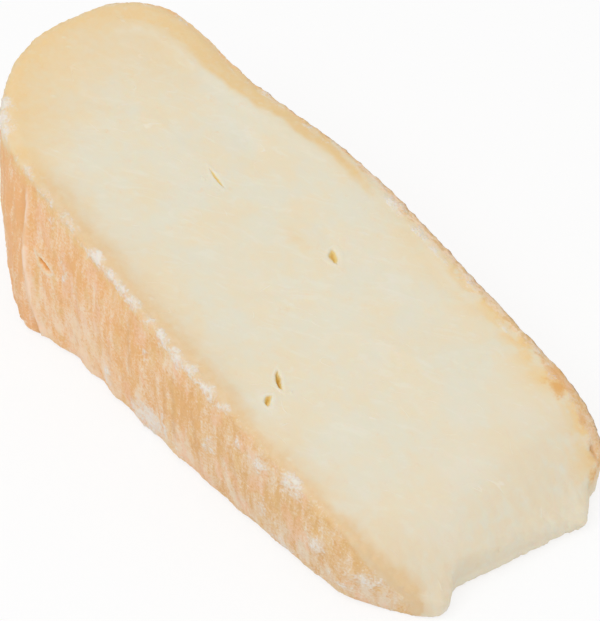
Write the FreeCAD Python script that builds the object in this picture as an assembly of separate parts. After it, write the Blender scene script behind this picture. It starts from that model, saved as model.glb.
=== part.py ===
import FreeCAD, Part

import math
import os

# A retail wedge of taleggio, a square washed-rind cheese, lying on one of its two cut faces.
# X runs from the bulged outer rind to the torn tip, Y from one broad rind to the other, which is
# the height of the whole cheese, and Z is up. The second cut face is on top and falls towards
# the tip, because the two knife cuts were not parallel. All sizes are millimetres.

# ---- driving dimensions ----
CHEESE_HEIGHT = 54.3  # from rind to rind, across the wedge
LENGTH = 126.0  # from the bulged outer rind to the torn tip
MIDDLE_THICKNESS = 28.5  # height of the upper cut face at the middle of the wedge
FACE_FALL = 0.235  # fall of the upper cut face towards the tip, per millimetre
TIP_THICKNESS = 2.6  # what the tear leaves at the end of the tip

# ---- plan of the wedge, worked out from the driving dimensions ----
OUTER_X = -0.523 * LENGTH  # furthest point of the bulged outer rind
TIP_X = OUTER_X + LENGTH
NEAR_Y = -0.535 * CHEESE_HEIGHT  # the rind that shows its full height
FAR_Y = NEAR_Y + CHEESE_HEIGHT
SHOULDER_X = -0.345 * LENGTH  # where the broad rinds turn into the outer rind
BULGE_Y = -0.08 * CHEESE_HEIGHT  # the furthest point of the bulge is off the middle
NEAR_BOW = 1.7  # the near rind bows out between its ends
FAR_WAIST = 6.6  # the far rind draws in towards the outer end
NEAR_ROUNDNESS = 1.9  # superellipse exponents of the bulge's two quarters
FAR_ROUNDNESS = 3.0
TIP_TURN_X = 0.33 * LENGTH  # where the broad rinds start to turn in to the tip

# The tear across the tip, as setbacks from TIP_X at heights up the cheese. A step at each end
# is where the paste gave way beside the rind.
TEAR = (
    (-19.6, 2.2),
    (-17.6, 0.6),
    (-14.8, 1.3),
    (-12.6, 3.6),
    (-9.5, 3.8),
    (-4.0, 2.8),
    (3.0, 2.1),
    (11.6, 1.2),
    (15.2, 0.0),
    (17.6, 2.2),
    (21.2, 4.6),
)

# ---- rind wall ----
WALL_BULGE = 1.2  # how far the rind wall swells between the cut faces
FOOT_TUCK = 0.5  # how far it draws in at the table
FOOT_SHARE = 0.12  # share of the wall's height over which it does so
CORNER_SAG = 2.9  # how far the soft rind has spread towards the table at the fold
CORNER_SAG_REACH = 8.0
TEAR_UNDERCUT = 0.9  # how far the tear leans in under the tip
LEVELS = (0.0, 0.05, 0.14, 0.26, 0.4, 0.54, 0.67, 0.78, 0.88, 1.0, 1.15)  # shares of the height
SECTION_POINTS = 200  # points round each section
COLUMN_TOP = 60.0  # the column that is cut down to the wedge
FLUTE_DEPTH = 0.32  # soft upright flutes left in the rind by the draining cloth
FLUTE_PITCH = 8.5
FOLD_DEPTH = 0.9  # the fold down the corner between the near rind and the outer rind
FOLD_WIDTH = 1.5
HEM_DEPTH = 0.45  # the fold's raised lip
RIM_RADIUS = 1.3  # soft edge between rind and upper cut face

# ---- upper cut face ----
DROOP_START = 0.33 * LENGTH  # from here the face rounds down to the tip
FAR_SLOPE_WIDTH = 6.0  # the face falls away in a band along the far rind
FAR_SLOPE_DEPTH = 0.8
KNIFE_WAVE = 0.28  # long shallow waves that the knife dragged into the soft paste
FACE_ROWS = 44
FACE_COLUMNS = 26
FACE_MARGIN = 14.0  # how far the knife surface reaches past the wedge

# ---- eyes: the few small holes in the paste ----
# Each is x, y, length, width, depth, and the angle of its length from +X in degrees.
FACE_EYES = (
    (-23.2, -0.3, 5.0, 0.7, 0.9, -2.0),
    (1.6, 6.8, 4.2, 1.5, 1.1, -18.0),
    (15.9, -17.9, 4.4, 1.1, 1.7, -31.0),
    (18.2, -22.2, 2.4, 1.4, 1.3, -52.0),
)
HOLE_TAPER = 0.45  # size of a hole's floor, as a share of its mouth
# A slit in the near rind, beside the fold: distance along X from the shoulder, height, length,
# width, depth, and the angle of its length from level in degrees.
RIND_SLIT = (7.4, 21.2, 3.8, 1.0, 1.2, -25.0)


def smooth(t):
    """Rises from 0 to 1 with level ends as t goes from 0 to 1."""
    t = min(max(t, 0.0), 1.0)
    return t * t * (3 - 2 * t)


def bell(t):
    return math.exp(-t * t)


def near_rind_y(x):
    """The near rind's line in plan, with its turn towards the tip."""
    along = (x - SHOULDER_X) / (TIP_TURN_X - SHOULDER_X)
    bow = NEAR_BOW * math.sin(math.pi * min(max(along, 0.0), 1.0))
    turn = max(0.0, (x - TIP_TURN_X) / (TIP_X - TIP_TURN_X))
    return NEAR_Y + NEAR_BOW - bow + 9.0 * turn**1.7


def far_rind_y(x):
    """The far rind's line in plan: drawn in near the outer end, turned in at the tip."""
    waist = FAR_WAIST * smooth((-4.0 - x) / 42.0)
    turn = max(0.0, (x - TIP_TURN_X - 6.0) / (TIP_X - TIP_TURN_X - 6.0))
    return FAR_Y - waist - 6.0 * turn**2.4


def bulge_quarter(shoulder_y, roundness, steps):
    """A quarter of the outer rind's bulge, from its shoulder to its furthest point."""
    reach_x = SHOULDER_X - OUTER_X
    reach_y = shoulder_y - BULGE_Y
    for i in range(1, steps + 1):
        a = math.pi / 2 * i / steps
        yield (
            SHOULDER_X - reach_x * math.sin(a) ** (2 / roundness),
            BULGE_Y + reach_y * math.cos(a) ** (2 / roundness),
        )


def plan_corners():
    """The outline in plan as a closed polyline, anticlockwise from the bulge's furthest point."""
    step = 2.0
    near_end = TIP_X - 3.0
    far_end = TIP_X - 5.5
    near_quarter = list(bulge_quarter(near_rind_y(SHOULDER_X), NEAR_ROUNDNESS, 14))
    far_quarter = list(bulge_quarter(far_rind_y(SHOULDER_X), FAR_ROUNDNESS, 14))
    points = near_quarter[::-1]
    count = round((near_end - SHOULDER_X) / step)
    for i in range(count + 1):
        x = SHOULDER_X + (near_end - SHOULDER_X) * i / count
        points.append((x, near_rind_y(x)))
    points += [(TIP_X - setback, y) for y, setback in TEAR]
    count = round((far_end - SHOULDER_X) / step)
    for i in range(count + 1):
        x = far_end + (SHOULDER_X - far_end) * i / count
        points.append((x, far_rind_y(x)))
    return points + far_quarter[:-1]


def plan_samples():
    """Evenly spaced samples of the outline: point, outward normal, distance past the fold."""
    corners = [FreeCAD.Vector(x, y, 0) for x, y in plan_corners()]
    outline = Part.makePolygon(corners + corners[:1])
    points = outline.discretize(Number=SECTION_POINTS + 1)[:-1]
    spacing = outline.Length / SECTION_POINTS
    shoulder = FreeCAD.Vector(SHOULDER_X, near_rind_y(SHOULDER_X), 0)
    fold_at = min(range(SECTION_POINTS), key=lambda i: (points[i] - shoulder).Length)
    samples = []
    for i, p in enumerate(points):
        along = points[(i + 1) % SECTION_POINTS] - points[i - 1]
        normal = FreeCAD.Vector(along.y, -along.x, 0).normalize()
        samples.append((p, normal, (i - fold_at) * spacing))
    return samples


def tip_droop(x, y):
    """How far the upper face has rounded down towards the tip. It starts later mid-way across."""
    across = (y - NEAR_Y) / CHEESE_HEIGHT
    start = DROOP_START + 5.0 * math.sin(math.pi * min(max(across, 0.0), 1.0))
    share = max(0.0, (x - start) / (TIP_X - start))
    full = MIDDLE_THICKNESS - FACE_FALL * TIP_X - TIP_THICKNESS
    return full * min(share, 1.15) ** 1.75


def face_height(x, y):
    """Height of the upper cut face."""
    plane = MIDDLE_THICKNESS - FACE_FALL * x
    band = (y - far_rind_y(x) + FAR_SLOPE_WIDTH) / FAR_SLOPE_WIDTH
    fade = 1 - smooth((x + 5.0) / 35.0)
    far_slope = FAR_SLOPE_DEPTH * (0.35 + 0.65 * fade) * min(max(band, 0.0), 1.4) ** 2
    waves = math.sin(x / 15.0 + y / 24.0) * math.cos(y / 11.0 - 0.6)
    return plane - tip_droop(x, y) - far_slope + KNIFE_WAVE * waves


def flutes(past_fold, height):
    """Soft upright flutes, of uneven depth and pitch, that lean over as they near the tip."""
    lean = 0.75 * smooth((past_fold - 40.0) / 60.0)
    phase = (past_fold + lean * height) / FLUTE_PITCH
    uneven = 0.6 + 0.4 * math.sin(past_fold / 23.0 + 1.0)
    return FLUTE_DEPTH * uneven * math.sin(2 * math.pi * phase + 1.4 * math.sin(past_fold / 17.0))


def fold(past_fold):
    """The fold at the near shoulder: a groove on the outer rind's side and a lip beside it."""
    groove = FOLD_DEPTH * bell((past_fold + 1.6) / FOLD_WIDTH)
    lip = HEM_DEPTH * bell((past_fold - 0.9) / FOLD_WIDTH)
    return lip - groove


def wall_point(point, normal, past_fold, share):
    """A point of the rind wall, at a share of the wedge's height above a point of the plan."""
    height = share * face_height(point.x, point.y)
    share = min(share, 1.0)
    on_rind = 1 - smooth((point.x - 44.0) / 10.0)  # the tear has no rind
    tuck = FOOT_TUCK * max(0.0, 1 - share / FOOT_SHARE) ** 2
    bulge = WALL_BULGE * math.sin(math.pi * share) - tuck
    sag = CORNER_SAG * bell((past_fold - 1.0) / CORNER_SAG_REACH)
    bulge += sag * math.cos(math.pi / 2 * share) ** 2
    calm = 1 - smooth((share - 0.62) / 0.22)  # the relief runs out below the rim
    relief = calm * (flutes(past_fold, height) + fold(past_fold))
    out = on_rind * (bulge + relief) - (1 - on_rind) * TEAR_UNDERCUT * (1 - share)
    return point + normal * out + FreeCAD.Vector(0, 0, height)


def rind_column():
    """A column with the rind for its wall, taller than the wedge."""
    poles = []
    for point, normal, past_fold in plan_samples():
        rise = [wall_point(point, normal, past_fold, share) for share in LEVELS]
        rise.append(FreeCAD.Vector(rise[-1].x, rise[-1].y, COLUMN_TOP))
        poles.append(rise)
    spans = len(poles[0]) - 3
    wall = Part.BSplineSurface()
    wall.buildFromPolesMultsKnots(
        poles,
        [1] * (SECTION_POINTS + 1),
        [4] + [1] * (spans - 1) + [4],
        list(range(SECTION_POINTS + 1)),
        list(range(spans + 1)),
        True,
        False,
        3,
        3,
    )
    side = wall.toShape()
    ends = [e for e in side.Edges if e.BoundBox.ZLength < 0.001]
    shell = Part.makeShell([side] + [Part.Face(Part.Wire([e])) for e in ends])
    shell.sewShape()
    return Part.makeSolid(shell)


def above_the_cut():
    """Everything above the upper cut face, bounded below by the surface the knife left."""
    start = FreeCAD.Vector(OUTER_X - FACE_MARGIN, NEAR_Y - FACE_MARGIN, 0)
    size_x = LENGTH + 2 * FACE_MARGIN
    size_y = CHEESE_HEIGHT + 2 * FACE_MARGIN
    grid = []
    for i in range(FACE_ROWS):
        x = start.x + size_x * i / (FACE_ROWS - 1)
        row = []
        for j in range(FACE_COLUMNS):
            y = start.y + size_y * j / (FACE_COLUMNS - 1)
            row.append(FreeCAD.Vector(x, y, face_height(x, y)))
        grid.append(row)
    surface = Part.BSplineSurface()
    surface.interpolate(grid)
    return surface.toShape().extrude(FreeCAD.Vector(0, 0, 2 * COLUMN_TOP))


def lens(length, width, height):
    """A pointed oval outline, level, with its length along X."""
    ends = [FreeCAD.Vector(side * length / 2, 0, height) for side in (-1, 1)]
    arcs = []
    for side in (-1, 1):
        middle = FreeCAD.Vector(0, side * width / 2, height)
        arcs.append(Part.Arc(ends[0], middle, ends[1]).toShape())
    return Part.Wire(arcs)


def hole(length, width, depth):
    """A tapered hole: a pointed oval that narrows to its floor, with its mouth at Z = 0."""
    floor = lens(HOLE_TAPER * length, HOLE_TAPER * width, -depth)
    spread = 2 - HOLE_TAPER  # carries the same taper as far again above the mouth
    above = lens(spread * length, spread * width, depth)
    return Part.makeLoft([floor, above], True, True)


def face_eye(x, y, length, width, depth, angle):
    eye = hole(length, width, depth)
    eye.rotate(FreeCAD.Vector(0, 0, 0), FreeCAD.Vector(0, 0, 1), angle)
    fall = math.degrees(math.atan(FACE_FALL))
    eye.rotate(FreeCAD.Vector(0, 0, 0), FreeCAD.Vector(0, 1, 0), fall)
    eye.translate(FreeCAD.Vector(x, y, face_height(x, y)))
    return eye


def rind_slit(past_shoulder, height, length, width, depth, angle):
    slit = hole(length, width, depth)
    slit.rotate(FreeCAD.Vector(0, 0, 0), FreeCAD.Vector(0, 0, 1), angle)
    slit.rotate(FreeCAD.Vector(0, 0, 0), FreeCAD.Vector(1, 0, 0), 90)
    x = SHOULDER_X + past_shoulder
    slit.translate(FreeCAD.Vector(x, near_rind_y(x) - WALL_BULGE, height))
    return slit


def soften_rim(solid):
    rim = max(solid.Edges, key=lambda e: e.BoundBox.ZMax)
    return solid.makeFillet(RIM_RADIUS, [rim])


def wedge():
    """The whole wedge as one solid, with its footprint centred on the origin."""
    body = rind_column().cut(above_the_cut()).Solids[0]
    body = soften_rim(body)
    holes = [face_eye(*eye) for eye in FACE_EYES] + [rind_slit(*RIND_SLIT)]
    body = body.cut(holes).Solids[0]
    box = body.optimalBoundingBox()
    body.translate(FreeCAD.Vector(-box.Center.x, -box.Center.y, -box.ZMin))
    return body


solid = wedge()
os.makedirs("parts", exist_ok=True)
solid.exportStep("parts/cheese_wedge.step")
box = solid.optimalBoundingBox()
print(f"cheese_wedge: valid {solid.isValid()}, {len(solid.Faces)} faces")
print(f"size {box.XLength:.1f} x {box.YLength:.1f} x {box.ZLength:.1f} mm")
# The volume is added up over a fine mesh, because a surface of many spans is measured badly.
corners, triangles = solid.tessellate(0.05)
volume = sum(corners[a].dot(corners[b].cross(corners[c])) for a, b, c in triangles) / 6
print(f"volume {volume / 1000:.1f} cm3")
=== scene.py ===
# %% [markdown]
# # A wedge of taleggio
# Taleggio is a square, soft, washed-rind cheese. This wedge lies on one of its two knife cuts.
# The measured solid gives its exact size and form. This lesson turns a copy of it into cheese:
# a supple orange rind with mould on it, a moist cream paste with small eyes, and a torn tip.

import math

import bpy
import numpy as np
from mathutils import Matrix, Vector, kdtree, noise


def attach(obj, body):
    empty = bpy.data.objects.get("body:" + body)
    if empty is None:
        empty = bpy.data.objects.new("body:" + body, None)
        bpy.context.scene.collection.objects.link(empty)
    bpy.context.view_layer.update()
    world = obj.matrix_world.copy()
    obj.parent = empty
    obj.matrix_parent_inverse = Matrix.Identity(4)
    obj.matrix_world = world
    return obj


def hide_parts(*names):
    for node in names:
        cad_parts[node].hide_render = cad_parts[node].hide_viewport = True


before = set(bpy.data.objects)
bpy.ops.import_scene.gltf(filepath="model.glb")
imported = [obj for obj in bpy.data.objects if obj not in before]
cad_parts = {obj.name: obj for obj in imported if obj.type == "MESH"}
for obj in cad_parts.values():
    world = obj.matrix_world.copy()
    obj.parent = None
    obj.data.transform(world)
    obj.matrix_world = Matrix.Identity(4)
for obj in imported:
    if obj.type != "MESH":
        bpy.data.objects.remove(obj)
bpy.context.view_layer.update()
MM = 0.001

# %% [markdown]
# ## Camera first
# The wedge is seen along its length from above its near rind, from about an arm's length: the
# camera is level, turned 50.5 degrees to the right, and looks down at 45 degrees. Its aim is a
# point inside the wedge. A long lens keeps the taper of the cheese from being exaggerated.

# %% Camera
AIM = Vector((3.71, 2.29, 18.0)) * MM
DISTANCE = 600 * MM
TURN = math.radians(50.5)
LOOK_DOWN = math.radians(45)
VIEW_SIDE = 110.9 * MM  # what the longer side of the picture takes in at the aim
SENSOR = 36.0


def way_out(turn, height):
    """The way from the wedge to what stands turned round it and raised by these angles."""
    level = math.cos(height)
    return Vector((math.sin(turn) * level, -math.cos(turn) * level, math.sin(height)))


bpy.ops.object.camera_add(
    location=AIM + way_out(TURN, LOOK_DOWN) * DISTANCE,
    rotation=(math.pi / 2 - LOOK_DOWN, 0, TURN),
)
camera = bpy.context.object
camera.name = "camera"
camera.data.sensor_width = SENSOR
camera.data.lens = SENSOR * DISTANCE / VIEW_SIDE
bpy.context.scene.camera = camera
print("lens:", round(camera.data.lens, 1), "mm")

# %% [markdown]
# ## An even skin to work on
# The solid's own mesh has long thin triangles, which can't hold fine relief. So a copy of it is
# joined up and remeshed into even cells of half a millimetre. Its eyes and its rind slit are
# plain there, and are made again below with soft lips, so the old ones are flattened flush with
# the skin round them, as a flatten brush would, and the skin is remeshed once more. A light
# smoothing then takes away the steps that remeshing leaves.

# %% Where the eyes are
# Each is its place, length, width and depth in mm, and the angle of its length from +X. The
# place is X and Y on the cut face, or X and Z on the near rind.
CLOSED_SLIT = dict(place=(-19.5, 2.0), length=5.6, width=0.8, depth=0.30, angle=-4)
FLAP_EYE = dict(place=(5.2, 8.9), length=3.8, width=2.0, depth=0.6, angle=-24)
GOLDEN_SLIT = dict(place=(19.6, -15.6), length=4.6, width=1.3, depth=0.9, angle=-27)
GOLDEN_PIT = dict(place=(21.9, -19.9), length=2.8, width=1.7, depth=0.7, angle=-52)
RIND_SLIT = dict(place=(-32.5, 20.9), length=4.7, width=1.9, depth=1.2, angle=-20)
EYES = [CLOSED_SLIT, FLAP_EYE, GOLDEN_SLIT, GOLDEN_PIT, RIND_SLIT]
print("eyes and slits to make again:", len(EYES))


# %% Copy the solid's mesh and join it up
def select_only(piece):
    bpy.ops.object.select_all(action="DESELECT")
    piece.select_set(True)
    bpy.context.view_layer.objects.active = piece


SAME_POINT = 0.001 * MM
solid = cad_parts["cheese_wedge"]
wedge = bpy.data.objects.new("cheese", solid.data.copy())
bpy.context.scene.collection.objects.link(wedge)
wedge.data.materials.clear()
select_only(wedge)
bpy.ops.object.mode_set(mode="EDIT")
bpy.ops.mesh.select_all(action="SELECT")
bpy.ops.mesh.remove_doubles(threshold=SAME_POINT)
bpy.ops.object.mode_set(mode="OBJECT")
print("joined copy:", len(wedge.data.polygons), "triangles")

# %% Remesh it evenly
CELL = 0.53 * MM


def apply_modifier(piece, kind, **settings):
    select_only(piece)
    modifier = piece.modifiers.new(kind.lower(), kind)
    for name, value in settings.items():
        setattr(modifier, name, value)
    bpy.ops.object.modifier_apply(modifier=modifier.name)


apply_modifier(wedge, "REMESH", mode="VOXEL", voxel_size=CELL)
print("even skin:", len(wedge.data.polygons), "cells")

# %% Find each eye's middle on the skin, then flatten it and remesh again
FLATTEN_REACH = 3.6 * MM
FLUSH = 0.06 * MM  # a point nearer than this to the flat is left where it is

points = np.array([v.co for v in wedge.data.vertices])
upward = np.array([v.normal.z for v in wedge.data.vertices])
for eye in EYES:
    across, same_skin = points[:, 1], upward > 0.3
    if eye is RIND_SLIT:
        across, same_skin = points[:, 2], (points[:, 1] < -15 * MM) & (upward < 0.3)
    distance = np.hypot(points[:, 0] - eye["place"][0] * MM, across - eye["place"][1] * MM)
    ring = points[same_skin & (distance > FLATTEN_REACH) & (distance < 1.3 * FLATTEN_REACH)]
    eye["middle"] = middle = ring.mean(axis=0)
    normal = np.linalg.svd(ring - middle)[2][2]
    depth = (points - middle) @ normal
    inside = np.linalg.norm(points - middle, axis=1) < FLATTEN_REACH
    sunk = inside & (abs(depth) > FLUSH)
    points[sunk] -= depth[sunk, None] * normal
    print("flattened", int(sunk.sum()), "points at", (middle / MM).round(1))
wedge.data.vertices.foreach_set("co", points.ravel())
apply_modifier(wedge, "REMESH", mode="VOXEL", voxel_size=CELL)
apply_modifier(wedge, "SMOOTH", factor=0.5, iterations=6)
print("healed skin:", len(wedge.data.polygons), "cells")

# %% [markdown]
# ## Finer cells round the eyes
# An eye is about a millimetre wide, which is only two cells. The skin close round each eye is
# divided again, so that its lips and its floor come out round. The rest doesn't need it.

# %% Divide the skin round the eyes
EYE_REACH = 3.0 * MM


def select_faces(piece, chosen):
    """Goes to edit mode with only the faces selected for which chosen(face) is true."""
    select_only(piece)
    bpy.ops.object.mode_set(mode="EDIT")
    bpy.ops.mesh.select_mode(type="FACE")
    bpy.ops.mesh.select_all(action="DESELECT")
    bpy.ops.object.mode_set(mode="OBJECT")
    for face in piece.data.polygons:
        face.select = chosen(face)
    bpy.ops.object.mode_set(mode="EDIT")


for eye in EYES:
    middle = Vector(eye["middle"])
    select_faces(wedge, lambda face: (face.center - middle).length < EYE_REACH)
    bpy.ops.mesh.subdivide(number_cuts=2)
    bpy.ops.object.mode_set(mode="OBJECT")
print("skin with fine patches:", len(wedge.data.polygons), "cells")

# %% [markdown]
# ## Measure the skin
# Everything that follows depends on where a point is: on the rind, on the cut face, on the tear
# or underneath, and how far from the rim. These are worked out once, in millimetres, from the
# skin's own points and normals. The rind faces sideways or towards the outer end, and the two
# cuts and the tear don't, so that is what tells them apart. The rim is the ring of points where
# the skin turns from one to the other. Distance from it is counted up on the paste and down on
# the rind.

# %% Points and normals
count = len(wedge.data.vertices)
co, normals = np.empty(count * 3, np.float32), np.empty(count * 3, np.float32)
wedge.data.vertices.foreach_get("co", co)
wedge.data.vertices.foreach_get("normal", normals)
co = co.reshape(-1, 3).astype(float) / MM
normals = normals.reshape(-1, 3).astype(float)
x, y, z = co.T
face_up = normals[:, 2]
sideways = np.hypot(np.minimum(normals[:, 0], 0), normals[:, 1])
print("measured points:", count)


# %% Soft steps and nearest points
def smooth(t):
    """Rises from 0 to 1 with level ends as t goes from 0 to 1."""
    t = np.clip(t, 0, 1)
    return t * t * (3 - 2 * t)


def bell(t):
    return np.exp(-t * t)


def nearest(points, targets):
    """For each point, the distance to the nearest target and that target's number."""
    tree = kdtree.KDTree(len(targets))
    for number, target in enumerate(targets):
        tree.insert(target, number)
    tree.balance()
    found = [tree.find(point) for point in points]
    return np.array([f[2] for f in found]), np.array([f[1] for f in found])


# %% The rim, and the distance from it
HALF_TURNED = 0.71  # the sideways share of a normal that leans at 45 degrees
on_rim = (sideways > 0.6) & (sideways < 0.82) & (face_up > 0.2) & (z > 2.2)
rim_points = co[on_rim]
from_rim, rim_number = nearest(co, rim_points)
inward = np.where((sideways < HALF_TURNED) & (face_up > -0.3), from_rim, -from_rim)
rim_x, rim_y = rim_points[rim_number, 0], rim_points[rim_number, 1]

on_wall = smooth((sideways - 0.5) / 0.3) * smooth((face_up + 0.85) / 0.3)
underside = smooth((-face_up - 0.5) / 0.3)
near_side, far_side = smooth((-rim_y - 8) / 6), smooth((rim_y - 5) / 6)
torn = smooth((x - 55) / 3) * smooth((3.8 - z) / 1.2) * (1 - on_wall)
print("points on the rim:", len(rim_points), " points on the tear:", int((torn > 0.5).sum()))

# %% [markdown]
# ## Random relief
# Cheese has no ruled lines, so its relief comes from soft random noise, stretched along the
# direction that made it: cloth creases and drips run down the rind, and the knife drags the
# paste along the cut. The noise is the same on every run.


# %% A noise helper
def grain(points, size, octaves=3, seed=0):
    """Random relief of about -1 to 1 at each point. size is a lump's width along X, Y and Z."""
    scaled = points / np.array(size) + 31.7 * seed
    return np.array([noise.fractal(p, 1.0, 2.0, octaves) for p in scaled])


def turned_plan(points, degrees):
    """The points turned about Z, so that their X runs along that direction."""
    a = math.radians(degrees)
    along = points[:, 0] * math.cos(a) + points[:, 1] * math.sin(a)
    across = points[:, 1] * math.cos(a) - points[:, 0] * math.sin(a)
    return np.stack([along, across, points[:, 2]], axis=1)


# %% Soft uneven spots
drifted = co + np.stack([1.3 * grain(co, (3, 3, 3), 3, seed=30), np.zeros(count),
                         1.1 * grain(co, (3, 3, 3), 3, seed=31)], axis=1)


def patch(place, reach):
    """1 at a place, fading to 0 over its reach along X, Y and Z, with an uneven outline."""
    offset = (drifted - np.array(place)) / np.array(reach)
    return np.exp(-(offset**2).sum(axis=1))


def patches(table):
    """All the patches of a table of places, reaches and strengths, the strongest on top."""
    return np.maximum.reduce([strength * patch(place, reach) for place, reach, strength in table])


print("points drift by up to", abs(drifted - co).max().round(1), "mm")

# %% [markdown]
# ## Where the white mould is
# Pale mould grows on the rind's high, dry places: in tufts along the rim, where the knife left
# the crust standing, in thin runs down the wall, and in a broad patch at the foot. Each place
# is a soft spot here. The relief and the colour break its edge up into grains.

# %% Mould, by place and reach
NEAR = -27  # the near rind, along Y
NEAR_MOULD = [  # X and Z, the reach along X and Z, and the strength
    (-38.5, 37.6, 1.6, 0.9, 0.9),
    (-33, 36.2, 4.0, 0.9, 0.5),
    (-26.5, 34.8, 3.0, 1.1, 0.6),
    (-17.8, 32.8, 2.0, 1.5, 1),
    (-15.7, 32.2, 2.2, 0.9, 0.7),
    (-13.6, 31.6, 1.9, 1.4, 0.95),
    (-11.7, 31.3, 2.2, 1.0, 0.75),
    (-9.9, 31.0, 2.1, 1.3, 0.8),
    (-8.2, 30.7, 2.2, 1.0, 0.75),
    (-6.6, 30.4, 1.8, 1.2, 0.85),
    (-2.2, 29.2, 1.6, 0.9, 0.55),
    (1.6, 28.4, 2.2, 1.6, 1),
    (3.9, 27.5, 2.2, 1.0, 0.7),
    (6.2, 26.6, 2.1, 1.3, 0.95),
    (9.2, 26.3, 2.0, 1.3, 0.9),
    (11.8, 25.7, 2.2, 1.0, 0.65),
    (14.2, 25.1, 2.2, 1.5, 0.95),
    (18.2, 24.0, 2.0, 1.1, 0.75),
    (28.2, 18.0, 2.1, 2.2, 0.75),
    (35.4, 19.9, 1.8, 1.9, 0.95),
    (37.0, 18.2, 2.0, 1.6, 0.8),
    (42.9, 10.2, 2.6, 2.0, 0.8),
    (33.4, 2.5, 3.4, 1.4, 0.8),
    (-5.6, 4.2, 2.8, 3.0, 0.85),
    (-2.0, 6.0, 3.0, 4.0, 1.0),
    (2.2, 7.6, 1.0, 4.6, 0.9),
    (-3.2, 1.6, 4.6, 1.6, 0.8),
    (-14.4, 6.4, 1.3, 3.8, 0.75),
    (15.2, 13.1, 1.6, 2.6, 0.6),
    (22.6, 19.0, 1.8, 1.8, 0.6),
    (5.6, 4.6, 1.5, 1.8, 0.6),
    (-26.9, 24.6, 0.8, 4.6, 0.6),
    (-26.9, 21.6, 1.0, 1.6, 0.7),
    (-30.5, 31.6, 1.0, 2.0, 0.55),
    (-2.4, 21.3, 0.9, 2.2, 0.6),
    (29.3, 8.8, 1.0, 4.4, 0.55),
]
OTHER_MOULD = [
    ((53.2, NEAR + 3, 8.0), (3.6, 4, 2.4), 0.7),
    ((48.2, NEAR + 1, 4.9), (2.8, 5, 1.2), 0.7),
    ((-52.4, 20.6, 41.0), (2.4, 2.0, 1.6), 0.45),
    ((-31.8, 23.6, 36.4), (0.9, 1.2, 1.0), 0.8),
    ((1.6, 25.2, 28.9), (2.6, 1.8, 1.8), 0.95),
    ((9.0, 25.6, 27.0), (3.4, 1.6, 1.6), 0.7),
    ((13.8, 25.0, 26.0), (3.6, 1.2, 1.6), 0.65),
    ((22.0, 25.6, 24.2), (3.0, 1.4, 1.4), 0.6),
    ((33.0, 24.6, 21.4), (2.4, 1.2, 1.4), 0.5),
    ((44.6, 25.4, 18.4), (1.6, 1.2, 1.6), 0.6),
    ((-62, -4, 5), (4, 5, 3.0), 0.8),
    ((-58, 13, 19), (5, 3, 2.4), 0.7),
    ((-60, 4, 33), (4, 2.4, 1.6), 0.6),
]
OUTER_RIM_MOULD = [  # this lies over the rim, on the paste that laps it
    ((-48.6, -22.9, 39.8), (2.0, 1.2, 3.0), 1.0),
    ((-50.6, -21.9, 40.2), (2.8, 1.5, 3.0), 1.0),
    ((-53.6, -19.9, 40.7), (2.8, 1.4, 3.0), 1.0),
]


def along_far_rind(table, shift):
    """The near wall's places once more on the far wall, moved along it."""
    return [((place[0] + shift, 23, place[2]), (reach[0], 9, reach[2]), 0.9 * strength)
            for place, reach, strength in table if place[1] < -20 and place[2] < 22]


MOULD = OTHER_MOULD + [((along, NEAR, up), (wide, 5, high), strength)
                       for along, up, wide, high, strength in NEAR_MOULD]
MOULD += along_far_rind(MOULD, -13)
print("places with mould:", len(MOULD) + len(OUTER_RIM_MOULD))

# %% Mould and dust on the skin
mould = patches(MOULD)
tuft = grain(co, (0.9, 0.9, 0.9), 3, seed=1)
dust = bell((inward + 0.7 - 1.3 * far_side) / 0.9)
dust *= smooth((grain(co, (2.4, 2.4, 2.4), 2, seed=25) + 0.1) / 0.4)
bare_rim = far_side * smooth((x - 40) / 6)  # beside the tip, the far rim has little dust or crust
dusty = near_side * smooth((22 - x) / 10) + far_side - 0.8 * bare_rim
mould = np.maximum(mould, 0.5 * dust * dusty)
mould *= smooth((1.3 + 2.4 * far_side - inward) / 1.2)
mould = np.maximum(mould, patches(OUTER_RIM_MOULD))
grown = smooth((mould * (1 + 0.8 * tuft) - 0.3) / 0.4)
print("share of the skin with mould:", round(float((grown > 0.5).mean()), 3))

# %% [markdown]
# ## Relief, one layer at a time
# Each layer is painted as a vertex group, from 0 for none to 1 for full height, and a Displace
# modifier then pushes the skin out along its normals by that share of the layer's height.
# Broad layers come first, and fine ones on top of them. The wedge still has to lie flat, so no
# layer reaches its underside.

# %% Helpers that paint a group, and emboss one layer
off_the_floor = smooth((z - 0.2) / 1.2)


def apply_painted(name, weights, kind, least=0.002, **settings):
    """Applies a modifier to the wedge by painted weights, leaving out those under the least."""
    group = wedge.vertex_groups.new(name=name)
    for number in np.flatnonzero(weights > least):
        group.add([int(number)], float(weights[number]), "REPLACE")
    apply_modifier(wedge, kind, vertex_group=name, **settings)
    wedge.vertex_groups.remove(wedge.vertex_groups[name])


def emboss(name, weights, height):
    """Pushes the skin out by height mm where the weights are 1, and in if height is negative."""
    weights = np.clip(weights, 0, 1) * off_the_floor
    apply_painted(name, weights, "DISPLACE", mid_level=0, strength=height * MM)
    print(f"{name}: up to {abs(height)} mm, on {(weights > 0.05).mean():.0%} of the skin")


# %% [markdown]
# ## The rind's relief
# The draining cloth and the washing leave the rind softly lumpy, with streaks that run down it
# and fine crumbs all over. At the rim the knife leaves a line of crust standing. The streaks are
# noise that is long upright and folded about zero, which gives narrow ridges with wide valleys.

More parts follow.
